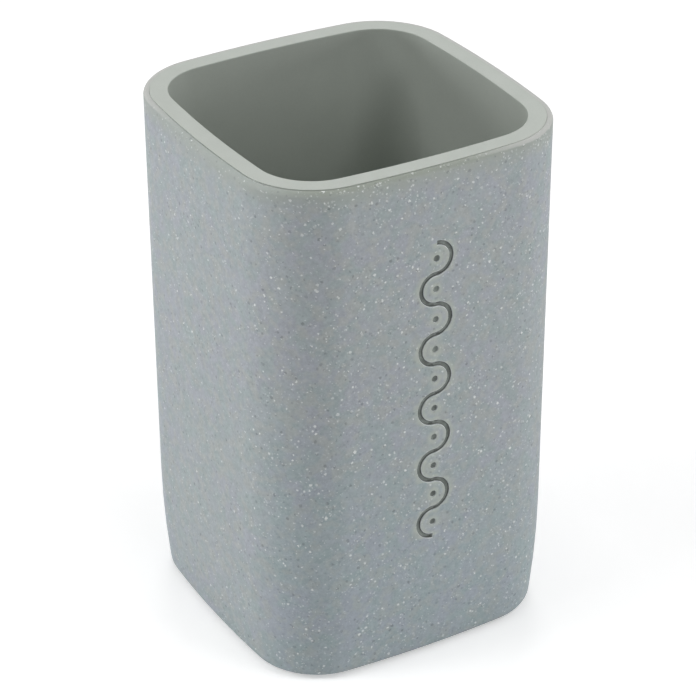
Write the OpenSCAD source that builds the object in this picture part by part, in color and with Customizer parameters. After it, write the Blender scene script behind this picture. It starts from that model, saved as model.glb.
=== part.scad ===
// Square bathroom tumbler: a stone-effect outer shell with a smooth cup inside it.
// The cup hangs in the shell by a flange that fills the rim, and a ribbed cover on
// four soft feet closes the shell from below. The front of the tumbler faces -Y.

/* [Body] */
// Width across the middle of two opposite sides, at the rim
body_w = 70; // [60:1:90]
// Height from the resting surface to the top of the rim
body_h = 113.8; // [80:0.1:150]
// Radius of the upright corners, at the rim
corner_r = 16.8; // [15:0.1:22]
// Radius of the crown across each side
crown_r = 265; // [180:5:600]
// How far each side leans in from the rim to the bend near the base
side_taper = 0.4; // [0.1:0.1:2]
// How far each side draws in below that bend
base_draw = 1.5; // [0.5:0.1:2.5]
// Height of the bend where the sides start to draw in
bend_h = 14; // [9:0.5:24]
// Radius of that bend
bend_r = 220; // [20:5:400]
// Radius of the edge round the base
base_edge_r = 2; // [1:0.1:5]

/* [Outer shell] */
// Wall thickness of the outer shell
shell_wall = 2.4; // [2:0.1:3]
// Width of the lip that stands round the flange of the cup
lip_w = 1.2; // [1:0.1:1.4]
// Radius of the outer edge of the lip
rim_edge_r = 1.1; // [0.3:0.1:1.3]
// Height of the ring round the bottom of the shell
ring_h = 4; // [3.6:0.1:6]
// Width of the ring, from the outside of the shell near the base
ring_w = 8.6; // [8:0.1:9]
// Width of the step in the ring that takes the cover
step_w = 1.8; // [1:0.1:2.4]

/* [Cup] */
// Width of the rim, from the outside of the shell to the inside of the cup
rim_w = 5; // [5:0.1:6.4]
// Thickness of the flange round the top of the cup
flange_t = 2.2; // [1.2:0.1:4]
// How far the flange stands above the lip of the shell
flange_proud = 0.2; // [0:0.05:0.4]
// Radius of the outer edge of the flange
flange_edge_r = 0.15; // [0.05:0.05:0.4]
// Wall thickness of the cup
cup_wall = 1.8; // [1.2:0.1:2]
// Thickness of the floor of the cup
cup_floor_t = 2.2; // [1.2:0.1:3]
// Height of the floor inside the cup above the resting surface
cup_floor_z = 9.6; // [9:0.1:14]
// How far each wall of the cup leans in from its rim to its floor
cup_draft = 1.3; // [0.3:0.1:2]
// Radius between the walls and the floor inside the cup
cup_floor_r = 6; // [1:0.5:7]
// Radius of the inner edge of the rim
mouth_edge_r = 0.2; // [0.2:0.1:1.5]

/* [Base cover] */
// Thickness of the cover plate
cover_t = 2; // [1.8:0.1:2.4]
// How far the cover lies above the bottom edge of the shell
cover_recess = 0.2; // [0:0.05:0.4]
// Thickness of the ribs on the cover
rib_t = 1.6; // [1:0.1:2.4]
// Distance between the ribs that cross the cover
rib_pitch = 14; // [10:0.5:18]
// Depth of the pockets for the feet
pocket_depth = 0.8; // [0.4:0.1:1.2]

/* [Feet] */
// Diameter of each foot
foot_d = 9; // [6:0.5:11]
// How far the feet stand below the bottom edge of the shell
foot_stand = 0.6; // [0.3:0.1:1.5]
// Distance from the edge of the cover to the middle of each foot
foot_inset = 10.4; // [8:0.1:14]
// Size of the bevel round the underside of a foot
foot_bevel = 0.4; // [0.1:0.05:0.5]

/* [Fits] */
// Width of the seam between the lip of the shell and the flange of the cup
seam_gap = 0.05; // [0.05:0.05:0.4]
// Clearance between the cover and the ring that it fits into
cover_gap = 0.15; // [0.05:0.05:0.3]
// Clearance between the floor of the cup and the ribs under it
cup_gap = 0.3; // [0.1:0.05:0.5]
// Clearance round a foot in its pocket
foot_gap = 0.1; // [0.05:0.05:0.3]

/* [Hidden] */
$fn = 64;

// Angle between two neighbouring points of a rounded edge
edge_step = 15;
// Longest stretch of a rounded corner between two neighbouring points
edge_stretch = 3;
// How far a cutting shape runs past what it cuts
overrun = 1;
// Parts of a degree that the joins of the outline are rounded to
angle_parts = 10000;
// Radius round a corner's centre that wall sections leave to the core
heart_r = 1.5;
// Share of a wall that its roundings may fill
rounding_share = 0.95;

// Heights of the faces that the pieces meet on
shell_z = foot_stand;
cover_z = shell_z + cover_recess;
ring_seat_z = cover_z + cover_t;
ring_top_z = shell_z + ring_h;
flange_z = body_h - flange_t;
lip_z = body_h - flange_proud;
cup_under_z = cup_floor_z - cup_floor_t;
rib_top_z = cup_under_z - cup_gap;

// Places of walls, as distances in from the outline of the rim
bend_in = side_taper;
base_in = side_taper + base_draw;
ring_in = bend_in + ring_w;
step_in = ring_in - step_w;
flange_in = lip_w + seam_gap;
cup_outer_in = rim_w - cup_wall;
cup_floor_in = rim_w + cup_draft;
cup_under_in = cup_floor_in - cup_wall;
cover_in = step_in + cover_gap;
rib_ring_in = ring_in + cover_gap;
foot_place = body_w / 2 - cover_in - foot_inset;

// The outline is a square of four crowned sides and four round corners, and every
// wall is a parallel offset of it. A side is an arc about [side_c, 0], a corner is an
// arc about [corner_c, corner_c], and the two meet at join_a, seen from the side's centre.
// That angle is rounded, and the corner's centre and radius follow it exactly.
side_c = body_w / 2 - crown_r;
arc_gap = crown_r - corner_r;
corner_guess = (side_c + sqrt(2 * arc_gap * arc_gap - side_c * side_c)) / 2;
join_a = round(atan2(corner_guess, corner_guess - side_c) * angle_parts) / angle_parts;
centre_gap = -side_c / (cos(join_a) - sin(join_a));
corner_c = centre_gap * sin(join_a);
corner_arc_r = crown_r - centre_gap;
// Sections of solid pieces reach in this far, to within heart_r of a corner's centre
deep_in = corner_r - heart_r;

function unit(v) = v / norm(v);

// Half of the angle at b between the lines to a and to c
function half_angle(a, b, c) = acos(unit(a - b) * unit(c - b)) / 2;

// The points of a rounded corner at b, between the lines to a and to c. The rounding
// starts and ends at the distance reach from b.
function corner_arc(a, b, c, reach) =
  let (
    u = unit(a - b),
    v = unit(c - b),
    half = half_angle(a, b, c),
    r = reach * tan(half),
    centre = b + unit(u + v) * r / sin(half),
    first = b + u * reach - centre,
    last = b + v * reach - centre,
    sweep = 180 - 2 * half,
    turn = sign(first.x * last.y - first.y * last.x),
    steps = ceil(max(sweep / edge_step, sweep * PI / 180 * r / edge_stretch))
  )
  [for (i = [0:steps])
    let (angle = turn * sweep * i / steps)
    centre + [
      first.x * cos(angle) - first.y * sin(angle),
      first.x * sin(angle) + first.y * cos(angle)
    ]
  ];

// A closed wall section through corners of the form [inset, height, radius]. Where the
// roundings would fill the wall between them, both give way in proportion.
module section(corners) {
  n = len(corners);
  points = [for (c = corners) [-c.x, c.y]];
  before = [for (i = [0:n - 1]) points[(i + n - 1) % n]];
  after = [for (i = [0:n - 1]) points[(i + 1) % n]];
  reaches = [for (i = [0:n - 1])
    corners[i].z == 0 ? 0 : corners[i].z / tan(half_angle(before[i], points[i], after[i]))
  ];
  room_shares = [for (i = [0:n - 1])
    let (room = norm(after[i] - points[i]) * rounding_share)
    room / max(reaches[i] + reaches[(i + 1) % n], room)
  ];
  polygon([
    for (i = [0:n - 1])
      let (reach = reaches[i] * min(room_shares[i], room_shares[(i + n - 1) % n]))
      each reach == 0 ? [points[i]] : corner_arc(before[i], points[i], after[i], reach)
  ]);
}

// Moves by the whole part of a distance and then by the rest, which keeps the place
// of a long radius or a centre exact
module shift(x, y) {
  translate([floor(x), floor(y), 0])
    translate([x - floor(x), y - floor(y), 0])
      children();
}

// Sweeps the wall section that is its child round the four sides and the four corners
module swept() {
  for (quarter = [0:3]) {
    rotate(90 * quarter) {
      shift(corner_c, corner_c)
        rotate_extrude(angle = 90 - 2 * join_a, start = join_a)
          shift(corner_arc_r, 0)
            children();
      shift(side_c, 0)
        rotate_extrude(angle = 2 * join_a, start = -join_a)
          shift(crown_r, 0)
            children();
    }
  }
}

// Fills the middle that sections reaching in to deep_in leave open. They are solid
// between bottom and top from there out to full_in.
module core(bottom, top, full_in) {
  half = corner_c + (corner_arc_r - full_in) / 2;
  translate([-half, -half, bottom])
    cube([2 * half, 2 * half, top - bottom]);
}

// The shell, with a rebate round its rim for the flange of the cup and an inward ring
// at its base, which is stepped underneath to take the cover
module outer_shell() {
  color("lightslategray")
    swept()
      section([
        [step_in, shell_z, 0],
        [base_in, shell_z, base_edge_r],
        [bend_in, bend_h, bend_r],
        [0, lip_z, rim_edge_r],
        [lip_w, lip_z, 0],
        [lip_w, flange_z, 0],
        [shell_wall, flange_z, 0],
        [bend_in + shell_wall, bend_h, bend_r],
        [base_in + shell_wall, ring_top_z, base_edge_r / 2],
        [ring_in, ring_top_z, 0],
        [ring_in, ring_seat_z, 0],
        [step_in, ring_seat_z, 0]
      ]);
}

// The cup, with the flange that lies in the rebate of the shell
module inner_liner() {
  color("honeydew") {
    swept()
      section([
        [deep_in, cup_under_z, 0],
        [cup_under_in, cup_under_z, cup_floor_r],
        [cup_outer_in, flange_z, 0],
        [flange_in, flange_z, 0],
        [flange_in, body_h, flange_edge_r],
        [rim_w, body_h, mouth_edge_r],
        [cup_floor_in, cup_floor_z, cup_floor_r],
        [deep_in, cup_floor_z, 0]
      ]);
    core(cup_under_z, cup_floor_z, cup_under_in + cup_floor_r);
  }
}

// The closing plate, which fits into the step of the ring from below. A ring of wall
// and a grid of ribs on it stand just under the floor of the cup.
module base_cover() {
  color("gray")
    difference() {
      union() {
        swept()
          section([
            [deep_in, cover_z, 0],
            [cover_in, cover_z, 0],
            [cover_in, ring_seat_z, 0],
            [rib_ring_in, ring_seat_z, 0],
            [rib_ring_in, rib_top_z, 0],
            [rib_ring_in + rib_t, rib_top_z, 0],
            [rib_ring_in + rib_t, ring_seat_z, 0],
            [deep_in, ring_seat_z, 0]
          ]);
        core(cover_z, ring_seat_z, cover_in);
        cover_ribs();
      }
      for (x = [-1, 1], y = [-1, 1])
        translate([x * foot_place, y * foot_place, cover_z - overrun])
          cylinder(d = foot_d + 2 * foot_gap, h = pocket_depth + overrun);
    }
}

// The ribs that cross the cover from side to side, ending in the middle of its ring
module cover_ribs() {
  root_z = cover_z + cover_t / 2;
  span = body_w - 2 * rib_ring_in - rib_t;
  for (quarter = [0, 1], side = [-1, 1])
    rotate(90 * quarter)
      translate([-span / 2, side * rib_pitch / 2 - rib_t / 2, root_z])
        cube([span, rib_t, rib_top_z - root_z]);
}

// A round pad pressed into its pocket, with a bevel where it meets the resting surface
module foot(x, y) {
  foot_top = cover_z + pocket_depth;
  color("whitesmoke")
    translate([x * foot_place, y * foot_place, 0])
      rotate_extrude()
        polygon([
          [0, 0],
          [foot_d / 2 - foot_bevel, 0],
          [foot_d / 2, foot_bevel],
          [foot_d / 2, foot_top],
          [0, foot_top]
        ]);
}

outer_shell();
inner_liner();
base_cover();
foot(-1, -1);  // foot_front_left
foot(1, -1);  // foot_front_right
foot(-1, 1);  // foot_back_left
foot(1, 1);  // foot_back_right
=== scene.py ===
import math

import bmesh
import bpy
from bpy.props import FloatProperty, FloatVectorProperty, IntProperty, PointerProperty
from mathutils import Euler, Matrix, Vector, noise


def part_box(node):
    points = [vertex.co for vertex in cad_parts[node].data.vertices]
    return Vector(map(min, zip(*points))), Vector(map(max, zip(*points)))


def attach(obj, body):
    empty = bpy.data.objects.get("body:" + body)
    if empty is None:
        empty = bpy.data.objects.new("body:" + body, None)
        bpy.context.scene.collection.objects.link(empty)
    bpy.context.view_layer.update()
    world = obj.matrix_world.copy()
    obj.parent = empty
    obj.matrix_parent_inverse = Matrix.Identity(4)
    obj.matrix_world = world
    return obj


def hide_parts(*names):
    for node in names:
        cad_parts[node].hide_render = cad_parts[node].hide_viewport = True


bl_info = {
    "name": "Bathroom Tumbler",
    "version": (1, 0, 0),
    "blender": (4, 5, 0),
    "location": "View3D > Sidebar > Tumbler",
    "description": "Builds a square stone-effect bathroom tumbler and the stage that it stands on",
    "category": "Add Mesh",
}

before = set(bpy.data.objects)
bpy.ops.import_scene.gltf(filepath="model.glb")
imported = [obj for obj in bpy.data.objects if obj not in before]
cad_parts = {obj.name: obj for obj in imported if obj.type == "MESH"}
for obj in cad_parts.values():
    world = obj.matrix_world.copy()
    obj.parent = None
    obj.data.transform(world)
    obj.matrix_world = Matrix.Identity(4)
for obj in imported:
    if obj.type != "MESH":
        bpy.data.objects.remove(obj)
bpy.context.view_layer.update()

MM = 0.001
# The heights that the pieces meet on, read from the frame
SHELL_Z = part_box("outer_shell")[0].z
LIP_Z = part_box("outer_shell")[1].z
RIM_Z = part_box("inner_liner")[1].z
CUP_UNDER_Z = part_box("inner_liner")[0].z
COVER_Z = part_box("base_cover")[0].z
RIB_TOP_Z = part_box("base_cover")[1].z
FEET = ("foot_front_left", "foot_front_right", "foot_back_left", "foot_back_right")

# How finely round stretches are cut
EDGE_ANGLE = math.radians(9)
FEWEST_EDGE_STEPS = 3
SIDE_STEPS = 48
CORNER_STEPS = 36
ROUND_STEPS = 64
RING_STEPS = 28
DOT_STEPS = 24
GROOVE_LIP_STEPS = 4
BEVEL_STEPS = 3
# The angle from which an edge is shown sharp
SMOOTH_ANGLE = math.radians(38)
# How near points are welded, and how far from the ends of a flat lie the points that keep it flat
WELD = 0.001 * MM
HOLD = 0.12 * MM
# Share of a wall that its roundings may fill
ROUNDING_SHARE = 0.95
# Radius round a corner's centre that the sections of closed pieces leave open
HEART_RADIUS = 1.5 * MM
# How far the tops of the cross ribs lie under the ring's, so that no two joined faces share a plane
RIB_DROP = 0.01 * MM
# The lower half of the groove, as shares of its half width and of its depth
GROOVE_SHARES = ((0.96, 0.60), (0.82, 0.85), (0.5, 0.98), (0.0, 1.0))
# The lip is crisp, and nearly level with the flange, where -X - Y is under this length
BACK_REACH = 10 * MM
# The flaws of the seam: the scale of the noise of the waves and of the nicks, where that of the
# nicks is read, how high it is where a nick starts, and how deep the nicks are
WAVES_PER_MM = 0.8
NICKS_PER_MM = 0.23
NICK_PLACE = Vector((7, 3, 0))
NICK_START = 0.45
NICK_DEPTH = 2.2

# The turn of the textures, so that no wall lies along the cells of their noise
TEXTURE_TURN = Euler((0.6, 0.4, 0.9))
# The part of a noise's range over which a soft and a firm pattern change
SOFT_FADE = (0.3, 0.7)
FIRM_FADE = (0.35, 0.65)
# Where marks of the coat start and are whole, in millimetres along the axes of the piece
# The painted cool shade low down on the coat
LOW_PAINTED_SHADE_Z = (91.0, 36.0)
LOW_PAINTED_SHADE_X = (-34.5, -31.0)
# Where the painted shade on the front edge of the lip fades across and along the piece
RIM_PAINTED_SHADE_X = (30.0, 5.0)
RIM_PAINTED_SHADE_Y = (-24.0, -34.0)
# The paler lip, where the coat is wiped thin and a sheen is painted
WIPED_SHEEN_X_PLUS_Y = (-34.0, -6.0)
SMALL_CHIPS_X = (-34.0, -28.0)
# The same at the lip, as heights over it
RIM_BAND_RISE = (-3.5, 1.0)
# The painted shade on the front edge of the lip
RIM_PAINTED_SHADE_RISE = (-0.8, 0.1)
# The paler lip, wiped thin and with painted sheen
WIPED_SHEEN_RISE = (-0.22, 0.02)
# How much higher the painted cool shade low down reaches for each millimetre to the left, and how uneven
# its edge is
LOW_PAINTED_SHADE_TILT = 0.45
LOW_PAINTED_SHADE_RAGGED = 40.0
# The size of the chips on the left side, as a share of the others
SMALL_CHIPS = 0.82
# How much smoother the flakes are, and how far they stand out and the specks lie in, in millimetres
FLAKE_SHINE = 0.25
FLAKE_RISE = 0.02
SPECK_DEPTH = 0.03
# Where painted shade darkens the engraving along its sides, beyond the edge of its line, in millimetres
SIDE_PAINTED_SHADE = (-0.12, 0.08)
# How far from the engraved line the coat is wholly rubbed, and how far from the middle the front
# face lies at least, both in millimetres
RUBBED_WHOLE = 0.8
FRONT_REACH = 30.0

WHITE = (1, 1, 1, 1)
# The width of the camera's sensor in millimetres, and how near and how far it sees in metres
SENSOR_WIDTH = 36
NEAR, FAR = 0.01, 20


def length(name, description, size):
    """A property that holds a length in metres. Its default is given in millimetres."""
    return FloatProperty(name=name, description=description, default=size * MM, unit="LENGTH", precision=5)


def number(name, description, default):
    """A property that holds a plain number."""
    return FloatProperty(name=name, description=description, default=default, precision=5)


def colour(name, description, default):
    """A property that holds a colour as it looks on a screen."""
    return FloatVectorProperty(
        name=name, description=description, default=default, subtype="COLOR_GAMMA", size=3, min=0, max=1
    )


def lamp(name, default):
    """A property that holds a soft light's azimuth, elevation, distance, width and power."""
    return FloatVectorProperty(
        name=name, default=default, size=5,
        description="Azimuth and elevation in degrees, distance and width in metres, power in watts",
    )


class TumblerWalls(bpy.types.PropertyGroup):
    """Sizes of the outline and of the outer shell"""

    body_width: length("Width", "Width across two sides, at the rim", 70)
    corner_radius: length("Corner radius", "Radius of the upright corners, at the rim", 16.8)
    crown_radius: length("Crown radius", "Radius of the crown across each side", 265)
    side_taper: length("Side taper", "Lean of each side from the rim to the bend", 0.4)
    base_draw: length("Base draw", "Draw of each side below the bend", 1.5)
    bend_height: length("Bend height", "Height where the sides start to draw in", 14)
    bend_radius: length("Bend radius", "Radius of that bend", 220)
    base_edge_radius: length("Base edge", "Radius of the edge round the base", 2)
    lip_edge_radius: length("Lip edge", "Radius of the lip's outer edge at the front", 1.1)
    back_lip_edge_radius: length("Lip edge, back", "Radius of that edge round the back", 0.7)
    back_lip_rise: length("Lip rise, back", "Rise of the lip round the back", 0.12)
    shell_wall: length("Shell wall", "Wall thickness of the shell", 2.4)
    lip_width: length("Lip width", "Width of the lip round the flange", 1.2)
    ring_height: length("Ring height", "Height of the ring at the base", 4)
    ring_width: length("Ring width", "Width of that ring", 8.6)
    step_width: length("Step width", "Width of its step for the cover", 1.8)
    nick_depth: length("Nick depth", "Depth of the flaws along the seam", 0.12)


class TumblerCup(bpy.types.PropertyGroup):
    """Sizes of the smooth cup and of its flange"""

    rim_width: length("Rim width", "From the outside of the rim to its inside", 5)
    flange_thickness: length("Flange", "Thickness of the flange", 2.2)
    wall: length("Cup wall", "Wall thickness of the cup", 1.8)
    floor_thickness: length("Cup floor", "Thickness of the floor of the cup", 2.2)
    draft: length("Draft", "Lean of each wall from the rim to the floor", 1.3)
    floor_radius: length("Floor radius", "Radius between the walls and the floor", 6)
    mouth_edge_radius: length("Mouth edge", "Radius of the inner edge of the rim", 0.2)
    flange_edge_radius: length("Flange edge", "Radius of the outer edge of the flange", 0.08)
    seam_gap: length("Seam gap", "Width of the seam round the flange", 0.03)
    seam_edge_radius: length("Seam edge", "Radius of the lip's edge along the seam", 0.03)


class TumblerBase(bpy.types.PropertyGroup):
    """Sizes of the cover under the shell and of the feet"""

    cover_thickness: length("Cover", "Thickness of the cover plate", 2)
    cover_gap: length("Cover gap", "Clearance round the cover", 0.15)
    rib_thickness: length("Ribs", "Thickness of the ribs", 1.6)
    rib_pitch: length("Rib pitch", "Distance between the cross ribs", 14)
    pocket_depth: length("Pocket depth", "Depth of the pockets for the feet", 0.8)
    foot_gap: length("Foot gap", "Clearance round a foot", 0.1)
    foot_edge_radius: length("Foot edge", "Radius of the lower edge of a foot", 0.45)
    moulded_edge_radius: length("Moulded edge", "Radius of the edges of the cover", 0.25)


class TumblerOrnament(bpy.types.PropertyGroup):
    """Sizes of the engraved border on the front"""

    top: length("Top", "Height of the upper end", 97.6)
    bottom: length("Bottom", "Height of the lower end", 30.0)
    half_waves: IntProperty(name="Half waves", description="Half rings in the border", default=10, min=2)
    stroke: length("Stroke", "Width of the engraved line", 0.9)
    depth: length("Depth", "Depth of the engraving", 0.45)
    lip: length("Lip", "Radius of the worn edges of the engraving", 0.2)
    dot_radius: length("Dot", "Radius of the dots", 0.75)
    rubbed_width: length("Rubbed width", "Reach of the rubbed coat", 1.7)


class TumblerFinish(bpy.types.PropertyGroup):
    """Colours of the finishes"""

    stone: colour("Stone", "Main colour of the coat", (0.642, 0.672, 0.686))
    stone_cool: colour("Stone, cool", "Faintly violet patches", (0.647, 0.666, 0.695))
    stone_warm: colour("Stone, warm", "Greenish patches", (0.621, 0.669, 0.670))
    stone_pale: colour("Stone, beige", "Small beige patches", (0.656, 0.672, 0.665))
    # Colour of a bluish painted shade, laid low down and away from the left side
    low_cast: colour("Low cast", "Bluish cast low down", (0.972, 0.992, 1.0))
    rim_band: colour("Rim band", "Band under the rim", (0.640, 0.664, 0.640))
    # Colour of the painted shade on the front edge of the lip
    rim_shade: colour("Rim shade", "Darker front edge of the lip", (0.578, 0.602, 0.566))
    flake: colour("Flakes", "Pale flakes", (0.900, 0.915, 0.910))
    # Also the colour of the painted shadows beside some flakes
    speck: colour("Specks", "Dark specks", (0.430, 0.450, 0.450))
    # Colour of the paler lip round the back and right: a thinly wiped coat with painted sheen
    wiped_edge: colour("Wiped edge", "Lip where the coat is wiped thin", (0.752, 0.756, 0.742))
    rubbed: colour("Rubbed", "Coat rubbed pale round the engraving", (0.708, 0.734, 0.698))
    engraving: colour("Engraving", "Floor of the engraved border", (0.520, 0.546, 0.530))
    cup: colour("Cup", "Smooth plastic of the cup", (0.689, 0.712, 0.684))
    cover: colour("Cover", "Moulded plastic of the cover", (0.560, 0.575, 0.565))
    foot: colour("Feet", "Soft pads under the cover", (0.820, 0.825, 0.815))


class TumblerStage(bpy.types.PropertyGroup):
    """The camera, the light and the floor"""

    azimuth: number("Azimuth", "Camera's angle round the tumbler, in degrees", -29.861)
    elevation: number("Elevation", "Camera's angle over the floor, in degrees", 29.835)
    roll: number("Roll", "Camera's turn about its own axis, in degrees", -0.259)
    aim: length("Aim", "Height that the camera looks at", 57.17)
    distance: length("Distance", "From the camera to that point", 586.2)
    lens: number("Lens", "Focal length of the camera, in millimetres", 145.03)
    shift_x: number("Shift X", "Shift of the frame to the right", 0.00105)
    shift_y: number("Shift Y", "Shift of the frame upwards", -0.00093)
    floor_size: length("Floor", "Width of the floor", 1800)
    left_light: lamp("Left light", (-125, 4, 1.5, 0.5, 7.5))
    high_left_light: lamp("High left light", (-105, 35, 1.5, 0.5, 5.0))
    steep_left_light: lamp("Steep left light", (-95, 55, 1.5, 0.5, 2.1))
    right_light: lamp("Right light", (62, 4, 1.5, 0.5, 6.8))
    steep_right_light: lamp("Steep right light", (30, 55, 1.5, 0.5, 4.3))
    front_light: lamp("Front light", (0, 20, 1.5, 0.5, 2.7))
    back_light: lamp("Back light", (150, 45, 1.5, 0.5, 3.0))
    top_light: lamp("Top light", (0, 90, 1.4, 0.5, 3.8))
    sky: number("Sky", "Strength of the even light", 0.15)
    glow: number("Glow", "Glow of the floor where it is seen", 0.40)


SETTINGS = {
    "tumbler_walls": TumblerWalls,
    "tumbler_cup": TumblerCup,
    "tumbler_base": TumblerBase,
    "tumbler_ornament": TumblerOrnament,
    "tumbler_finish": TumblerFinish,
    "tumbler_stage": TumblerStage,
}


# The outline


class Outline:
    """Four crowned sides that run into four round corners. Every wall is a parallel offset of it."""

    def __init__(self, walls):
        self.crown_radius = walls.crown_radius
        self.corner_radius = walls.corner_radius
        self.side_centre = walls.body_width / 2 - walls.crown_radius
        gap = walls.crown_radius - walls.corner_radius
        self.corner_centre = (self.side_centre + math.sqrt(2 * gap * gap - self.side_centre ** 2)) / 2
        self.join = math.atan2(self.corner_centre, self.corner_centre - self.side_centre)

    def inset(self, point):
        """How far a point lies in from the outline."""
        far, near = sorted((abs(point.x), abs(point.y)), reverse=True)
        if math.atan2(near, far - self.side_centre) <= self.join:
            return self.crown_radius - math.hypot(far - self.side_centre, near)
        return self.corner_radius - math.hypot(far - self.corner_centre, near - self.corner_centre)


def half_angle(before, corner, after):
    """Half of the angle at a corner of a wall section."""
    return (before - corner).angle(after - corner) / 2


def round_corner(before, corner, after, reach):
    """Points of a rounding that starts and ends at the distance reach from a corner."""
    to_before = (before - corner).normalized()
    to_after = (after - corner).normalized()
    half = half_angle(before, corner, after)
    radius = reach * math.tan(half)
    centre = corner + (to_before + to_after).normalized() * radius / math.sin(half)
    first = corner + to_before * reach - centre
    last = corner + to_after * reach - centre
    turn = math.copysign(math.pi - 2 * half, first.x * last.y - first.y * last.x)
    steps = max(FEWEST_EDGE_STEPS, math.ceil(abs(turn) / EDGE_ANGLE))
    return [centre + Matrix.Rotation(turn * i / steps, 2) @ first for i in range(steps + 1)]


def wall_section(corners, closed=True):
    """Points of a wall section through corners of the form (inset, height, radius). Where the
    roundings would fill the wall between them, both give way in proportion. Two more points
    near the ends of each flat keep its shading flat."""
    spots = [Vector((-inset, height)) for inset, height, radius in corners]
    after = spots[1:] + spots[:1]
    reaches = [
        radius and radius / math.tan(half_angle(spots[i - 1], spots[i], after[i]))
        for i, (inset, height, radius) in enumerate(corners)
    ]
    shares = []
    for i, reach in enumerate(reaches):
        room = (after[i] - spots[i]).length * ROUNDING_SHARE
        shares.append(room / max(reach + reaches[(i + 1) % len(reaches)], room))
    rounded = []
    for i, reach in enumerate(reaches):
        if reach == 0:
            rounded.append(spots[i])
        else:
            reach *= min(shares[i], shares[i - 1])
            rounded += round_corner(spots[i - 1], spots[i], after[i], reach)
    section = []
    ends = rounded[1:] + rounded[:1] if closed else rounded[1:]
    for start, end in zip(rounded, ends):
        section.append(start)
        along = end - start
        if along.length > 4 * HOLD:
            section += [start + along.normalized() * HOLD, end - along.normalized() * HOLD]
    if not closed:
        section.append(rounded[-1])
    return section


def draw_line(mesh, points, closed):
    """Draws a line through points, and gives its points and edges."""
    verts = [mesh.verts.new(point) for point in points]
    ends = verts[1:] + verts[:1] if closed else verts[1:]
    return verts + [mesh.edges.new(pair) for pair in zip(verts, ends)]


def spin(mesh, line, centre, axis, angle, steps, merge=False):
    """Turns a line about an axis into a surface, and gives the line at its end."""
    return bmesh.ops.spin(
        mesh, geom=line, cent=centre, axis=axis, angle=angle, steps=steps,
        use_merge=merge, use_normal_flip=False, use_duplicate=False,
    )["geom_last"]


def sweep(mesh, outline, section, closed=True):
    """Turns a wall section about the centres of a side and a corner, and sets that quarter round
    the middle four times."""
    across = Vector((math.cos(outline.join), -math.sin(outline.join), 0))
    side = Vector((outline.side_centre, 0, 0))
    corner = Vector((outline.corner_centre, outline.corner_centre, 0))
    points = [side + across * (outline.crown_radius + p.x) + Vector((0, 0, p.y)) for p in section]
    side_turn = 2 * outline.join
    last = spin(mesh, draw_line(mesh, points, closed), side, (0, 0, 1), side_turn, SIDE_STEPS)
    spin(mesh, last, corner, (0, 0, 1), math.pi / 2 - side_turn, CORNER_STEPS)
    quarter = mesh.verts[:] + mesh.edges[:] + mesh.faces[:]
    for turn in range(1, 4):
        copy = bmesh.ops.duplicate(mesh, geom=quarter)["geom"]
        bmesh.ops.rotate(
            mesh, matrix=Matrix.Rotation(turn * math.pi / 2, 3, "Z"),
            verts=[part for part in copy if isinstance(part, bmesh.types.BMVert)],
        )
    weld(mesh)


def weld(mesh):
    """Joins the points that meet."""
    bmesh.ops.remove_doubles(mesh, verts=mesh.verts[:], dist=WELD)


def close_holes(mesh):
    """Fills the round openings that are left in the middle of a swept piece."""
    bmesh.ops.holes_fill(mesh, edges=[e for e in mesh.edges if e.is_boundary], sides=0)


def swept_body(walls, section):
    """A body whose wall section starts and ends in the middle."""
    body = bmesh.new()
    sweep(body, Outline(walls), section, closed=False)
    close_holes(body)
    return body


def fence_materials(data):
    """Marks the edges between two materials as sharp, so that neither shades the other."""
    seen = {}
    for face in data.polygons:
        for key in face.edge_keys:
            seen.setdefault(key, set()).add(face.material_index)
    for edge in data.edges:
        if len(seen[edge.key]) > 1:
            edge.use_edge_sharp = True


def add_object(name, data):
    """Adds an object to the scene."""
    thing = bpy.data.objects.new(name, data)
    bpy.context.scene.collection.objects.link(thing)
    return thing


def add_mesh(name, mesh, materials):
    """Turns a bmesh into an object with outward normals."""
    bmesh.ops.recalc_face_normals(mesh, faces=mesh.faces[:])
    data = bpy.data.meshes.new(name)
    mesh.to_mesh(data)
    mesh.free()
    for material in materials:
        data.materials.append(material)
    return add_object(name, data)


def make_piece(name, mesh, materials, slot_name, *nodes):
    """Turns a bmesh into a smooth-shaded piece that rides on the frame in place of its CAD nodes."""
    piece = add_mesh(name, mesh, materials)
    piece.data.shade_smooth()
    piece.data.set_sharp_from_angle(angle=SMOOTH_ANGLE)
    fence_materials(piece.data)
    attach(piece, "root")
    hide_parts(*nodes)


def combine(mesh, tool, operation, materials=()):
    """Joins one bmesh to another, or takes it out, and gives the result as a new bmesh. Faces that
    come from the tool keep its material numbers."""
    body, other = [add_mesh("combined", part, materials) for part in (mesh, tool)]
    modifier = body.modifiers.new("combined", "BOOLEAN")
    modifier.operation = operation
    modifier.solver = "EXACT"
    modifier.object = other
    result = bmesh.new()
    result.from_object(body, bpy.context.evaluated_depsgraph_get())
    # The objects go with their meshes
    for used in (body.data, other.data):
        bpy.data.meshes.remove(used)
    return result


# Shader nodes


def linear(shade):
    """A screen colour as the light values that a shader takes, with full alpha."""
    return [c / 12.92 if c <= 0.04045 else ((c + 0.055) / 1.055) ** 2.4 for c in shade] + [1]


def add_node(tree, kind, inputs=None, **settings):
    """A new shader node with its inputs linked or set."""
    node = tree.nodes.new("ShaderNode" + kind)
    for key, value in settings.items():
        setattr(node, key, value)
    fill(tree, node, inputs or {})
    return node


def fill(tree, node, inputs):
    """Links the inputs of a node to other sockets, or gives them constants."""
    for key, value in inputs.items():
        if isinstance(value, bpy.types.NodeSocket):
            tree.links.new(value, node.inputs[key])
        else:
            node.inputs[key].default_value = value


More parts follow.
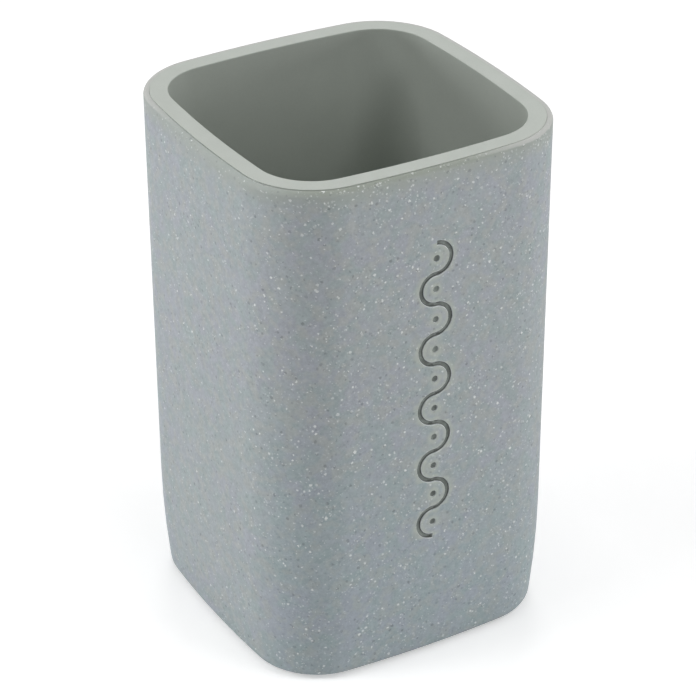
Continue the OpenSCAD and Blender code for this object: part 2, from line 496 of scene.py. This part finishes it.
class Finish:
    """A material and the means to add linked nodes to it. Lengths are in millimetres, and x, y and z
    give the place on the piece."""

    def __init__(self, name):
        self.material = bpy.data.materials.new(name)
        self.material.use_nodes = True
        self.tree = self.material.node_tree
        self.shader = self.tree.nodes["Principled BSDF"]
        metres = self.add("TexCoord")["Object"]
        place = self.add("Mapping", {"Vector": metres, "Scale": (1 / MM,) * 3})[0]
        self.turned = self.add("Mapping", {"Vector": place, "Rotation": TEXTURE_TURN})[0]
        self.x, self.y, self.z = self.add("SeparateXYZ", {"Vector": place})

    def add(self, kind, inputs=None, **settings):
        """The outputs of a new node."""
        return add_node(self.tree, kind, inputs, **settings).outputs

    def math(self, operation, *values, kind="Math", **settings):
        """What an operation makes of values, or of vectors."""
        return self.add(kind, dict(enumerate(values)), operation=operation, **settings)[0]

    def times(self, first, second):
        """The product of two values."""
        return self.math("MULTIPLY", first, second)

    def ramp(self, value, low, high, to_low=0.0, to_high=1.0, smooth=False):
        """Maps a value from one range to another and holds it there."""
        inputs = {"Value": value, "From Min": low, "From Max": high, "To Min": to_low, "To Max": to_high}
        kind = "SMOOTHSTEP" if smooth else "LINEAR"
        return self.add("MapRange", inputs, interpolation_type=kind)["Result"]

    def noise(self, grain, detail=2.0, roughness=0.5):
        """Cloudy noise with lumps about as wide as grain."""
        inputs = {"Vector": self.turned, "Scale": 1 / grain, "Detail": detail, "Roughness": roughness}
        return self.add("TexNoise", inputs)["Fac"]

    def clouds(self, grain, low, high, detail=2.0, fade=SOFT_FADE, roughness=0.5):
        """Cloudy noise that goes from low to high over the part fade of its range."""
        return self.ramp(self.noise(grain, detail, roughness), *fade, low, high)

    def ragged(self, value, grain, amount, detail=2.0, roughness=0.5):
        """A value made uneven by cloudy noise of up to amount."""
        return self.math("MULTIPLY_ADD", self.noise(grain, detail, roughness), amount, value)

    def warped(self, grain, amount):
        """The place for a texture, shaken by up to amount."""
        inputs = {"Vector": self.turned, "Scale": 1 / grain, "Detail": 2.0}
        shake = self.add("TexNoise", inputs)["Color"]
        centred = self.math("SUBTRACT", shake, (0.5, 0.5, 0.5), kind="VectorMath")
        return self.math("MULTIPLY_ADD", centred, (2 * amount,) * 3, self.turned, kind="VectorMath")

    def beside(self, place, amount):
        """A place for a texture, moved by amount along each axis of the piece."""
        return self.math("ADD", place, TEXTURE_TURN.to_matrix() @ Vector((amount,) * 3), kind="VectorMath")

    def hypotenuse(self, across, along):
        """The distance of a place from the middle of a plane."""
        place = self.add("CombineXYZ", {0: across, 1: along})[0]
        return self.add("VectorMath", {0: place}, operation="LENGTH")["Value"]

    def chips(self, place, cell, largest, share, soft, strength=(1.0, 1.0), crowd=1.0):
        """Scattered chips in a share of the cells, with edges as wide as soft. They shrink where
        crowd is low. Gives a mask with a random strength for each, and another random number."""
        cells = self.add("TexVoronoi", {"Vector": place, "Scale": 1 / cell, "Randomness": 1.0})
        chance, strong, other = self.add("SeparateColor", {"Color": cells["Color"]})
        radius = self.ramp(chance, 1 - share, 1.0, 0.0, largest / cell)
        inside = self.math("SUBTRACT", self.times(radius, crowd), cells["Distance"])
        mask = self.math("DIVIDE", inside, soft / cell, use_clamp=True)
        return self.times(mask, self.ramp(strong, 0.0, 1.0, *strength)), other

    def mix(self, amount, first, second, blend="MIX"):
        """Mixes two colours by an amount from 0 to 1."""
        inputs = {0: amount, 6: first, 7: second}
        return self.add("Mix", inputs, data_type="RGBA", blend_type=blend)[2]

    def lay(self, tone, shade, mask, share=1.0):
        """Lays a share of a screen colour over a tone where a mask is 1."""
        return self.mix(self.times(mask, share), tone, linear(shade))

    def grey(self, value):
        """A grey tone from a value."""
        return self.add("CombineColor", {0: value, 1: value, 2: value})[0]

    def shade(self, tone, *values):
        """A tone made darker or lighter by the product of two values."""
        return self.mix(1.0, tone, self.grey(self.times(*values)), "MULTIPLY")

    def dress(self, tone, roughness, height, strength):
        """Gives the shader its colour, its roughness and the bump from a height."""
        bump = self.add("Bump", {"Height": height, "Distance": MM, "Strength": strength})[0]
        fill(self.tree, self.shader, {"Base Color": tone, "Roughness": roughness, "Normal": bump})
        return self.material


# The stone-effect finishes


def stone_tone(coat, shades):
    """The mottled ground of the coat, without its flakes."""
    tone = linear(shades.stone)
    for shade, share, grain, detail, fade in (
        (shades.stone_cool, 1.0, 14.0, 3.0, (0.40, 0.60)),
        (shades.stone_warm, 0.75, 4.0, 3.0, (0.42, 0.62)),
        (shades.stone_pale, 0.7, 2.6, 2.0, (0.48, 0.62)),
    ):
        tone = coat.lay(tone, shade, coat.ramp(coat.noise(grain, detail), *fade, smooth=True), share)
    sand = coat.clouds(grain=0.5, detail=3.0, low=0.92, high=1.08, roughness=0.6)
    lumps = coat.clouds(grain=1.3, low=0.93, high=1.07)
    return coat.shade(tone, sand, lumps)


def from_border(coat, ornament):
    """The distance of a place on the front from the middle of the engraved line. The half rings of
    the border bulge to either side in turn, so one ring is measured and the others are laid on it."""
    ring = ornament_ring(ornament) / MM
    down = coat.math("SUBTRACT", ornament.top / MM, coat.z)
    is_odd = coat.math("LESS_THAN", coat.math("MODULO", down, 4 * ring), 2 * ring)
    out = coat.times(coat.x, coat.math("MULTIPLY_ADD", is_odd, 2.0, -1.0))
    along = coat.math("SUBTRACT", coat.math("MODULO", down, 2 * ring), ring)
    radial = coat.hypotenuse(out, along)
    to_ring = coat.math("ABSOLUTE", coat.math("SUBTRACT", radial, ring))
    to_end = coat.hypotenuse(out, coat.math("SUBTRACT", coat.math("ABSOLUTE", along), ring))
    behind = coat.times(to_end, coat.math("LESS_THAN", out, 0.0))
    to_dot = coat.math("SUBTRACT", radial, (ornament.dot_radius - ornament.stroke / 2) / MM)
    return coat.math("MINIMUM", coat.math("MAXIMUM", to_ring, behind), to_dot)


def rubbed_round_border(coat, ornament):
    """1 next to the engraved border, falling to 0 where the coat is whole."""
    whole_to = ornament.stroke / 2 / MM + RUBBED_WHOLE
    ragged = coat.ragged(from_border(coat, ornament), grain=1.7, amount=1.8)
    faded_at = whole_to + ornament.rubbed_width / MM
    beside_border = coat.ramp(ragged, faded_at, whole_to, smooth=True)
    middle = (ornament.top + ornament.bottom) / 2 / MM
    reach = (ornament.top - ornament.bottom) / 2 / MM
    on_border = coat.math("COMPARE", coat.z, middle, reach)
    on_front = coat.math("LESS_THAN", coat.y, -FRONT_REACH)
    return coat.times(beside_border, coat.times(on_border, on_front))


def low_painted_shade_mask(coat):
    """1 low down, where a cool shade is painted, and 0 higher up and on the left side."""
    level = coat.math("MULTIPLY_ADD", coat.x, LOW_PAINTED_SHADE_TILT, coat.z)
    level = coat.ragged(level, grain=9.0, detail=3.0, amount=LOW_PAINTED_SHADE_RAGGED)
    return coat.times(coat.ramp(level, *LOW_PAINTED_SHADE_Z, smooth=True), coat.ramp(coat.x, *LOW_PAINTED_SHADE_X))


def up_to_lip(coat, rise, grain, amount):
    """1 on the lip and 0 below it. It fades in between two rises over the lip, and noise of up to
    amount makes its edge uneven."""
    low, high = rise
    ragged = coat.ragged(coat.z, grain, detail=3.0, amount=amount)
    return coat.ramp(ragged, LIP_Z / MM + low, LIP_Z / MM + high, smooth=True)


def rim_marks(coat, tone, shades):
    """Lays the band under the rim, and painted shade on the front edge of the lip, over a tone."""
    band = up_to_lip(coat, RIM_BAND_RISE, grain=3.0, amount=3.0)
    tone = coat.lay(tone, shades.rim_band, band, share=0.8)
    # Painted shade on the front edge of the lip, fading towards the back and the right
    edge = up_to_lip(coat, RIM_PAINTED_SHADE_RISE, grain=1.2, amount=0.5)
    for place, fade in ((coat.y, RIM_PAINTED_SHADE_Y), (coat.x, RIM_PAINTED_SHADE_X)):
        edge = coat.times(edge, coat.ramp(place, *fade, smooth=True))
    return coat.lay(tone, shades.rim_shade, edge)


def wiped_and_sheen_lip(coat):
    """1 on the part of the lip that is paler, where the coat is wiped thin and a sheen is painted, and 0
    elsewhere.
    """
    round_back = coat.ramp(coat.math("ADD", coat.x, coat.y), *WIPED_SHEEN_X_PLUS_Y, smooth=True)
    return coat.times(up_to_lip(coat, WIPED_SHEEN_RISE, grain=1.2, amount=0.3), round_back)


def coat_chips(coat):
    """Masks of the dark specks, the fine pale grits and the pale flakes. Some flakes have a painted
    shadow beside them, which goes with the specks."""
    crowd = coat.clouds(grain=5.0, low=0.70, high=1.08, fade=(0.36, 0.64))
    crowd = coat.times(crowd, coat.ramp(coat.x, *SMALL_CHIPS_X, SMALL_CHIPS, 1.0))
    shaken = coat.warped(grain=0.3, amount=0.25)
    both = {"cell": 0.95, "share": 0.72, "crowd": crowd}
    flakes, kind = coat.chips(shaken, largest=0.38, soft=0.08, strength=(0.12, 0.82), **both)
    painted_shadows = coat.chips(coat.beside(shaken, amount=0.16), largest=0.40, soft=0.10, **both)[0]
    painted_shadows = coat.times(painted_shadows, coat.ramp(kind, low=0.35, high=1.0, to_high=0.5))
    grits = coat.chips(
        shaken, cell=0.52, largest=0.25, share=0.64, soft=0.07, strength=(0.12, 0.62), crowd=crowd
    )[0]
    specks = coat.chips(shaken, cell=1.1, largest=0.46, share=0.75, soft=0.16, strength=(0.05, 0.55))[0]
    return coat.math("MAXIMUM", specks, painted_shadows), grits, flakes


def stone_coat(shades, ornament):
    """The speckled, finely sandy stone-effect coat of the shell."""
    coat = Finish("stone_coat")
    # A bluish painted shade darkens the coat low down
    tone = coat.mix(low_painted_shade_mask(coat), stone_tone(coat, shades), linear(shades.low_cast), "MULTIPLY")
    rubbed = rubbed_round_border(coat, ornament)
    tone = rim_marks(coat, coat.lay(tone, shades.rubbed, rubbed, share=0.8), shades)
    whole = coat.ramp(rubbed, low=0.0, high=1.0, to_low=1.0, to_high=0.3)
    dark, fine, pale = [coat.times(chips, whole) for chips in coat_chips(coat)]
    # The dark mask holds the specks and the painted shadows beside flakes
    for shade, mask in ((shades.speck, dark), (shades.flake, fine), (shades.flake, pale)):
        tone = coat.lay(tone, shade, mask)
    # Paler lip round the back: coat wiped thin, with painted sheen
    tone = coat.lay(tone, shades.wiped_edge, wiped_and_sheen_lip(coat), share=0.9)

    rough = coat.clouds(grain=1.5, low=0.62, high=0.78)
    rough = coat.math("MULTIPLY_ADD", pale, -FLAKE_SHINE, rough)
    sand = coat.ragged(0.0, grain=0.4, detail=3.0, amount=0.03, roughness=0.6)
    height = coat.ragged(sand, grain=3.0, amount=0.05)
    for mask, rise in ((pale, FLAKE_RISE), (dark, -SPECK_DEPTH)):
        height = coat.math("MULTIPLY_ADD", mask, rise, height)
    return coat.dress(tone, rough, height, strength=0.7)


def stone_worn(shades):
    """The coat where it is rubbed smooth and pale, along the edges of the engraving."""
    worn = Finish("stone_worn")
    bright = worn.clouds(grain=1.2, low=0.15, high=0.70, fade=FIRM_FADE)
    tone = worn.lay(stone_tone(worn, shades), shades.flake, bright)
    rough = worn.clouds(grain=1.0, low=0.55, high=0.68)
    height = worn.ragged(0.0, grain=0.5, detail=3.0, amount=0.02)
    return worn.dress(tone, rough, height, strength=0.7)


def stone_engraving(shades, ornament):
    """The bare, darker stone in the engraved border, with painted shade along its sides."""
    bare = Finish("stone_engraving")
    clouds = bare.clouds(grain=2.6, detail=3.0, low=0.72, high=1.18, fade=FIRM_FADE)
    pits = bare.clouds(grain=0.6, detail=3.0, low=0.80, high=1.12)
    start, end = [ornament.stroke / 2 / MM + beyond for beyond in SIDE_PAINTED_SHADE]
    ragged = bare.ragged(from_border(bare, ornament), grain=0.6, amount=0.2)
    # Painted shade along the sides of the engraved line
    sides = bare.ramp(ragged, start, end, to_low=1.0, to_high=0.5, smooth=True)
    tone = bare.shade(linear(shades.engraving), bare.times(clouds, pits), sides)
    shaken = bare.warped(grain=0.45, amount=0.14)
    grits = bare.chips(shaken, cell=0.5, largest=0.16, share=0.3, soft=0.05, strength=(0.1, 0.5))[0]
    tone = bare.lay(tone, shades.stone, grits)
    height = bare.ragged(0.0, grain=0.3, detail=3.0, amount=0.06)
    return bare.dress(tone, roughness=0.85, height=height, strength=0.8)


# The moulded finishes


def cup_satin(shades):
    """The smooth satin plastic of the cup and its flange."""
    satin = Finish("cup_satin")
    clouds = satin.clouds(grain=9.0, detail=3.0, low=0.985, high=1.015, fade=FIRM_FADE)
    fine = satin.clouds(grain=0.5, low=0.985, high=1.015)
    tone = satin.shade(linear(shades.cup), clouds, fine)
    shaken = satin.warped(grain=0.4, amount=0.1)
    dust = satin.chips(shaken, cell=2.6, largest=0.16, share=0.25, soft=0.06, strength=(0.05, 0.3))[0]
    tone = satin.lay(tone, shades.speck, dust)
    rough = satin.clouds(grain=4.0, detail=3.0, low=0.42, high=0.52)
    peel = satin.ragged(0.0, grain=1.6, amount=0.012)
    height = satin.ragged(peel, grain=0.25, amount=0.004)
    return satin.dress(tone, rough, height, strength=0.8)


def cover_moulded(shades):
    """The fine matt mould texture of the base cover."""
    moulded = Finish("cover_moulded")
    clouds = moulded.clouds(grain=11.0, detail=3.0, low=0.96, high=1.04, fade=FIRM_FADE)
    grain = moulded.clouds(grain=0.35, low=0.94, high=1.06)
    rough = moulded.clouds(grain=2.0, low=0.58, high=0.70)
    height = moulded.ragged(0.0, grain=0.3, detail=3.0, amount=0.03)
    return moulded.dress(moulded.shade(linear(shades.cover), clouds, grain), rough, height, strength=0.8)


def foot_rubber(shades):
    """The soft, slightly dusty rubber of the feet."""
    rubber = Finish("foot_rubber")
    clouds = rubber.clouds(grain=3.0, detail=3.0, low=0.95, high=1.04, fade=FIRM_FADE)
    rough = rubber.clouds(grain=1.0, low=0.66, high=0.80)
    height = rubber.ragged(0.0, grain=0.2, amount=0.015)
    return rubber.dress(rubber.shade(linear(shades.foot), clouds, 1.0), rough, height, strength=0.8)


# The outer shell


def shell_section(walls, cup):
    """The wall section of the shell, from the step for the cover round the outside to the
    rebate for the flange of the cup, and down the inside."""
    base_in = walls.side_taper + walls.base_draw
    ring_in = walls.side_taper + walls.ring_width
    step_in = ring_in - walls.step_width
    flange_z = RIM_Z - cup.flange_thickness
    ring_seat_z = COVER_Z + bpy.context.scene.tumbler_base.cover_thickness
    ring_top_z = SHELL_Z + walls.ring_height
    bend_z = walls.bend_height
    return wall_section([
        (step_in, SHELL_Z, cup.seam_edge_radius),
        (base_in, SHELL_Z, walls.base_edge_radius),
        (walls.side_taper, bend_z, walls.bend_radius),
        (0, LIP_Z, walls.lip_edge_radius),
        (walls.lip_width, LIP_Z, cup.seam_edge_radius),
        (walls.lip_width, flange_z, 0),
        (walls.shell_wall, flange_z, 0),
        (walls.side_taper + walls.shell_wall, bend_z, walls.bend_radius),
        (base_in + walls.shell_wall, ring_top_z, walls.base_edge_radius / 2),
        (ring_in, ring_top_z, 0),
        (ring_in, ring_seat_z, 0),
        (step_in, ring_seat_z, 0),
    ])


def outwards(place):
    """The level direction from the middle axis to a place."""
    return Vector((place.x, place.y, 0)).normalized()


def front_share(place, low, high):
    """1 towards the near corner, where -X - Y is over high, and 0 where it is under low."""
    return min(1, max(0, (-(place.x + place.y) - low) / (high - low)))


def crisp_back_lip(mesh, outline, walls):
    """Tightens the rounding of the lip's outer edge round the back, and lifts the lip there."""
    radius = walls.lip_edge_radius
    for vert in mesh.verts:
        across, down = outline.inset(vert.co), LIP_Z - vert.co.z
        if across > walls.lip_width + WELD or down > radius + WELD:
            continue
        back = 1 - front_share(vert.co, BACK_REACH, walls.body_width / 2)
        less = back * (1 - walls.back_lip_edge_radius / radius)
        if across < radius + WELD:
            vert.co += outwards(vert.co) * across * less
        vert.co.z += down * less + walls.back_lip_rise * back * (1 - down / radius)


def seam_flaw(place):
    """How deep the seam is flawed at a place in millimetres: slight waves, and a few deeper nicks."""
    waves = 0.5 + 0.5 * noise.noise(place * WAVES_PER_MM)
    return waves + NICK_DEPTH * max(0, noise.noise(place * NICKS_PER_MM + NICK_PLACE) - NICK_START)


def nick_seam(mesh, outline, walls):
    """Moves the edge of the lip along the seam outwards by its flaws, but not round the back."""
    reach, height = 2 * walls.nick_depth, 3 * walls.nick_depth
    for vert in mesh.verts:
        off = abs(outline.inset(vert.co) - walls.lip_width)
        if off < reach and vert.co.z > LIP_Z - height:
            flaw = walls.nick_depth * seam_flaw(vert.co / MM) * front_share(vert.co, 0, walls.body_width)
            vert.co += outwards(vert.co) * flaw * (1 - off / reach)


def ornament_ring(ornament):
    """The radius of the half rings of the border."""
    return (ornament.top - ornament.bottom) / (2 * ornament.half_waves)


def wave_profile(ornament):
    """Points across one half of the engraved line: from outside the face over a rounded lip, down
    the side and along the bottom to the middle. The depth runs along Y."""
    half, lip, depth = ornament.stroke / 2, ornament.lip, ornament.depth
    points = [Vector((half + lip, -half)), Vector((half + lip, 0))]
    for i in range(1, GROOVE_LIP_STEPS + 1):
        turn = math.pi / 2 * i / GROOVE_LIP_STEPS
        points.append(Vector((half + lip * (1 - math.sin(turn)), lip * (1 - math.cos(turn)))))
    points += [Vector((half * across, depth * deep)) for across, deep in GROOVE_SHARES]
    return points


def border_tool(ornament):
    """The engraving tool on the plane Y = 0: a wave of half rings with a dot in each bay."""
    tool = bmesh.new()
    side = wave_profile(ornament)
    profile = side + [Vector((-p.x, p.y)) for p in reversed(side[:-1])]
    ring = ornament_ring(ornament)
    flatten = Matrix.Diagonal((1, ornament.depth / ornament.dot_radius, 1, 1))
    last = draw_line(tool, [(0, p.y, ornament.top + p.x) for p in profile], closed=True)
    for i in range(ornament.half_waves):
        way = 1 if i % 2 == 0 else -1
        centre = Vector((0, 0, ornament.top - ring * (2 * i + 1)))
        last = spin(tool, last, centre, (0, 1, 0), way * math.pi, RING_STEPS)
        bmesh.ops.create_uvsphere(
            tool, u_segments=DOT_STEPS, v_segments=DOT_STEPS * 2 // 3, radius=ornament.dot_radius,
            matrix=Matrix.Translation(centre) @ flatten,
        )
    weld(tool)
    close_holes(tool)
    for face in tool.faces:
        face.material_index = 2 if face.calc_center_median().y > ornament.lip else 1
    return tool


def engrave_border(shell, walls, ornament, materials):
    """Cuts the border into the front of the shell, square to the leaning wall."""
    lean = math.atan(walls.side_taper / (RIM_Z - walls.bend_height))
    face = Vector((0, -walls.body_width / 2, RIM_Z))
    place = Matrix.Translation(face) @ Matrix.Rotation(lean, 4, "X") @ Matrix.Translation((0, 0, -RIM_Z))
    tool = border_tool(ornament)
    bmesh.ops.transform(tool, matrix=place, verts=tool.verts[:])
    return combine(shell, tool, "DIFFERENCE", materials)


class TUMBLER_OT_stone_shell(bpy.types.Operator):
    """Build the stone-effect outer shell with its engraved border"""

    bl_idname = "tumbler.stone_shell"
    bl_label = "Stone shell"

    def execute(self, context):
        scene = context.scene
        walls, cup, shades = scene.tumbler_walls, scene.tumbler_cup, scene.tumbler_finish
        outline = Outline(walls)
        shell = bmesh.new()
        sweep(shell, outline, shell_section(walls, cup))
        crisp_back_lip(shell, outline, walls)
        nick_seam(shell, outline, walls)
        ornament = scene.tumbler_ornament
        materials = [stone_coat(shades, ornament), stone_worn(shades), stone_engraving(shades, ornament)]
        shell = engrave_border(shell, walls, ornament, materials)
        make_piece("stone_shell", shell, materials, "stone_effect", "outer_shell")
        return {"FINISHED"}


# The cup


def cup_section(walls, cup):
    """The wall section of the cup, from under its floor up to the flange and down the inside."""
    deep_in = walls.corner_radius - HEART_RADIUS
    flange_z = RIM_Z - cup.flange_thickness
    floor_z = CUP_UNDER_Z + cup.floor_thickness
    floor_in = cup.rim_width + cup.draft
    flange_in = walls.lip_width + cup.seam_gap
    return wall_section([
        (deep_in, CUP_UNDER_Z, 0),
        (floor_in - cup.wall, CUP_UNDER_Z, cup.floor_radius),
        (cup.rim_width - cup.wall, flange_z, 0),
        (flange_in, flange_z, 0),
        (flange_in, RIM_Z, cup.flange_edge_radius),
        (cup.rim_width, RIM_Z, cup.mouth_edge_radius),
        (floor_in, floor_z, cup.floor_radius),
        (deep_in, floor_z, 0),
    ], closed=False)


class TUMBLER_OT_smooth_cup(bpy.types.Operator):
    """Build the smooth cup whose flange makes the rim"""

    bl_idname = "tumbler.smooth_cup"
    bl_label = "Smooth cup"

    def execute(self, context):
        scene = context.scene
        walls = scene.tumbler_walls
        cup = swept_body(walls, cup_section(walls, scene.tumbler_cup))
        make_piece("smooth_cup", cup, [cup_satin(scene.tumbler_finish)], "cup_plastic", "inner_liner")
        return {"FINISHED"}


# The base


def cover_section(walls, base):
    """The wall section of the cover, from under its middle out to its edge and up to its ribs."""
    deep_in = walls.corner_radius - HEART_RADIUS
    ring_in = walls.side_taper + walls.ring_width
    cover_in = ring_in - walls.step_width + base.cover_gap
    rib_in = ring_in + base.cover_gap
    seat_z = COVER_Z + base.cover_thickness
    edge = base.moulded_edge_radius
    return wall_section([
        (deep_in, COVER_Z, 0),
        (cover_in, COVER_Z, edge),
        (cover_in, seat_z, edge),
        (rib_in, seat_z, 0),
        (rib_in, RIB_TOP_Z, edge),
        (rib_in + base.rib_thickness, RIB_TOP_Z, edge),
        (rib_in + base.rib_thickness, seat_z, 0),
        (deep_in, seat_z, 0),
    ], closed=False)


def cross_rib(walls, base, turn, side):
    """A rib that crosses the cover beside its middle and ends in the middle of its ring."""
    rib_in = walls.side_taper + walls.ring_width + base.cover_gap
    span = walls.body_width - 2 * rib_in - base.rib_thickness
    root_z = COVER_Z + base.cover_thickness / 2
    top_z = RIB_TOP_Z - RIB_DROP
    middle = Vector((0, side * base.rib_pitch / 2, (root_z + top_z) / 2))
    size = Matrix.Diagonal((span, base.rib_thickness, top_z - root_z, 1))
    place = Matrix.Rotation(turn, 4, "Z") @ Matrix.Translation(middle)
    rib = bmesh.new()
    bmesh.ops.create_cube(rib, size=1, matrix=place @ size)
    bmesh.ops.bevel(
        rib, geom=rib.edges[:], offset=base.moulded_edge_radius, segments=BEVEL_STEPS, profile=0.5,
        affect="EDGES", material=-1,
    )
    return rib


def foot_middle(node):
    """The middle of a foot's CAD node, on the surface that the tumbler stands on."""
    low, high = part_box(node)
    return Vector(((low.x + high.x) / 2, (low.y + high.y) / 2, 0))


def foot_radius():
    """The radius of a foot, from its CAD node."""
    low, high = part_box(FEET[0])
    return (high.x - low.x) / 2


class TUMBLER_OT_closing_cover(bpy.types.Operator):
    """Build the cover that closes the shell from below, with its pockets for the feet"""

    bl_idname = "tumbler.closing_cover"
    bl_label = "Closing cover"

    def execute(self, context):
        scene = context.scene
        walls, base = scene.tumbler_walls, scene.tumbler_base
        cover = swept_body(walls, cover_section(walls, base))
        for turn in (0, math.pi / 2):
            for side in (-1, 1):
                cover = combine(cover, cross_rib(walls, base, turn, side), "UNION")
        pockets = bmesh.new()
        radius = foot_radius() + base.foot_gap
        for node in FEET:
            bmesh.ops.create_cone(
                pockets, cap_ends=True, segments=ROUND_STEPS, radius1=radius, radius2=radius,
                depth=2 * base.pocket_depth,
                matrix=Matrix.Translation(foot_middle(node) + Vector((0, 0, COVER_Z))),
            )
        cover = combine(cover, pockets, "DIFFERENCE")
        moulded = cover_moulded(scene.tumbler_finish)
        make_piece("closing_cover", cover, [moulded], "cover_plastic", "base_cover")
        return {"FINISHED"}


class TUMBLER_OT_soft_feet(bpy.types.Operator):
    """Build the four soft feet in their pockets"""

    bl_idname = "tumbler.soft_feet"
    bl_label = "Soft feet"

    def execute(self, context):
        base = context.scene.tumbler_base
        rubber = foot_rubber(context.scene.tumbler_finish)
        radius = foot_radius()
        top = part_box(FEET[0])[1].z
        section = wall_section([
            (0, 0, 0),
            (-radius, 0, base.foot_edge_radius),
            (-radius, top, base.foot_edge_radius / 3),
            (0, top, 0),
        ], closed=False)
        for node in FEET:
            foot = bmesh.new()
            middle = foot_middle(node)
            line = draw_line(foot, [middle + Vector((p.x, 0, p.y)) for p in section], closed=False)
            spin(foot, line, middle, (0, 0, 1), 2 * math.pi, ROUND_STEPS, merge=True)
            weld(foot)
            make_piece("soft_" + node, foot, [rubber], "foot_rubber", node)
        return {"FINISHED"}


# The stage


def direction(azimuth, elevation):
    """The direction from the tumbler to a place round it, both angles in degrees."""
    turn, rise = math.radians(azimuth), math.radians(elevation)
    return Vector((math.sin(turn) * math.cos(rise), -math.cos(turn) * math.cos(rise), math.sin(rise)))


def add_camera(scene, stage):
    """The camera at the photograph's viewing angle."""
    back = direction(stage.azimuth, stage.elevation)
    right = Vector((0, 0, 1)).cross(back).normalized()
    right = Matrix.Rotation(math.radians(stage.roll), 3, back) @ right
    up = back.cross(right)
    data = bpy.data.cameras.new("camera")
    data.sensor_width = SENSOR_WIDTH
    data.lens = stage.lens
    data.shift_x, data.shift_y = stage.shift_x, stage.shift_y
    data.clip_start, data.clip_end = NEAR, FAR
    camera = add_object("camera", data)
    camera.matrix_world = Matrix((right, up, back)).transposed().to_4x4()
    camera.location = Vector((0, 0, stage.aim)) + back * stage.distance
    scene.camera = camera


def add_soft_light(name, lamp_values):
    """A square soft light that faces the tumbler."""
    azimuth, elevation, distance, size, power = lamp_values
    back = direction(azimuth, elevation)
    data = bpy.data.lights.new(name, "AREA")
    data.energy = power
    data.size = size
    light = add_object(name, data)
    light.location = Vector((0, 0, RIM_Z / 2)) + back * distance
    light.rotation_euler = back.to_track_quat("Z", "Y").to_euler()


def seen_directly(tree):
    """1 where the camera, a reflection or a clear body sees the surface, and 0 where it gives light."""
    path = add_node(tree, "LightPath").outputs
    total = path["Is Camera Ray"]
    for name in ("Is Glossy Ray", "Is Transmission Ray"):
        total = add_node(tree, "Math", {0: total, 1: path[name]}, operation="MAXIMUM").outputs[0]
    return total


def add_sky(scene, strength):
    """Even light from all round, with plain white behind the tumbler."""
    world = bpy.data.worlds.new("studio")
    world.use_nodes = True
    scene.world = world
    tree = world.node_tree
    even = tree.nodes["Background"]
    fill(tree, even, {"Color": WHITE, "Strength": strength})
    white = add_node(tree, "Background", {"Color": WHITE})
    inputs = {0: seen_directly(tree), 1: even.outputs[0], 2: white.outputs[0]}
    fill(tree, tree.nodes["World Output"], {"Surface": add_node(tree, "MixShader", inputs).outputs[0]})


def floor_paper(strength):
    """White studio paper that glows a little where it is seen and is clear from below."""
    paper = Finish("floor_paper")
    fibres = paper.clouds(grain=2.0, detail=4.0, low=0.84, high=0.86)
    fill(paper.tree, paper.shader, {
        "Base Color": paper.grey(fibres),
        "Roughness": 0.9,
        "Specular IOR Level": 0.0,
        "Emission Color": WHITE,
        "Emission Strength": paper.times(seen_directly(paper.tree), strength),
    })
    clear = paper.add("BsdfTransparent")[0]
    behind = paper.add("NewGeometry")["Backfacing"]
    side = paper.add("MixShader", {0: behind, 1: paper.shader.outputs[0], 2: clear})[0]
    fill(paper.tree, paper.tree.nodes["Material Output"], {"Surface": side})
    return paper.material


class TUMBLER_OT_stage(bpy.types.Operator):
    """Build the pale floor, the soft light and the camera"""

    bl_idname = "tumbler.stage"
    bl_label = "Stage"

    def execute(self, context):
        scene = context.scene
        stage = scene.tumbler_stage
        scene.view_settings.view_transform = "Standard"
        add_camera(scene, stage)
        add_sky(scene, stage.sky)
        for name in stage.__annotations__:
            if name.endswith("_light"):
                add_soft_light(name, getattr(stage, name))
        sheet = bmesh.new()
        bmesh.ops.create_grid(sheet, x_segments=1, y_segments=1, size=stage.floor_size / 2)
        add_mesh("floor", sheet, [floor_paper(stage.glow)])
        return {"FINISHED"}


BUILDERS = (
    TUMBLER_OT_stage,
    TUMBLER_OT_stone_shell,
    TUMBLER_OT_smooth_cup,
    TUMBLER_OT_closing_cover,
    TUMBLER_OT_soft_feet,
)


class TUMBLER_PT_build(bpy.types.Panel):
    """Lists the settings and the builders in the sidebar of the 3D view"""

    bl_label = "Tumbler"
    bl_idname = "TUMBLER_PT_build"
    bl_space_type = "VIEW_3D"
    bl_region_type = "UI"
    bl_category = "Tumbler"

    def draw(self, context):
        for setting in SETTINGS:
            box = self.layout.box()
            group = getattr(context.scene, setting)
            for name in group.__annotations__:
                box.prop(group, name)
        for builder in BUILDERS:
            self.layout.operator(builder.bl_idname)


def register():
    for setting, group in SETTINGS.items():
        bpy.utils.register_class(group)
        setattr(bpy.types.Scene, setting, PointerProperty(type=group))
    for builder in BUILDERS:
        bpy.utils.register_class(builder)
    bpy.utils.register_class(TUMBLER_PT_build)


def unregister():
    bpy.utils.unregister_class(TUMBLER_PT_build)
    for builder in BUILDERS:
        bpy.utils.unregister_class(builder)
    for setting, group in SETTINGS.items():
        delattr(bpy.types.Scene, setting)
        bpy.utils.unregister_class(group)


def main():
    register()
    bpy.ops.tumbler.stage()
    bpy.ops.tumbler.stone_shell()
    bpy.ops.tumbler.smooth_cup()
    bpy.ops.tumbler.closing_cover()
    bpy.ops.tumbler.soft_feet()


if __name__ == "__main__":
    main()
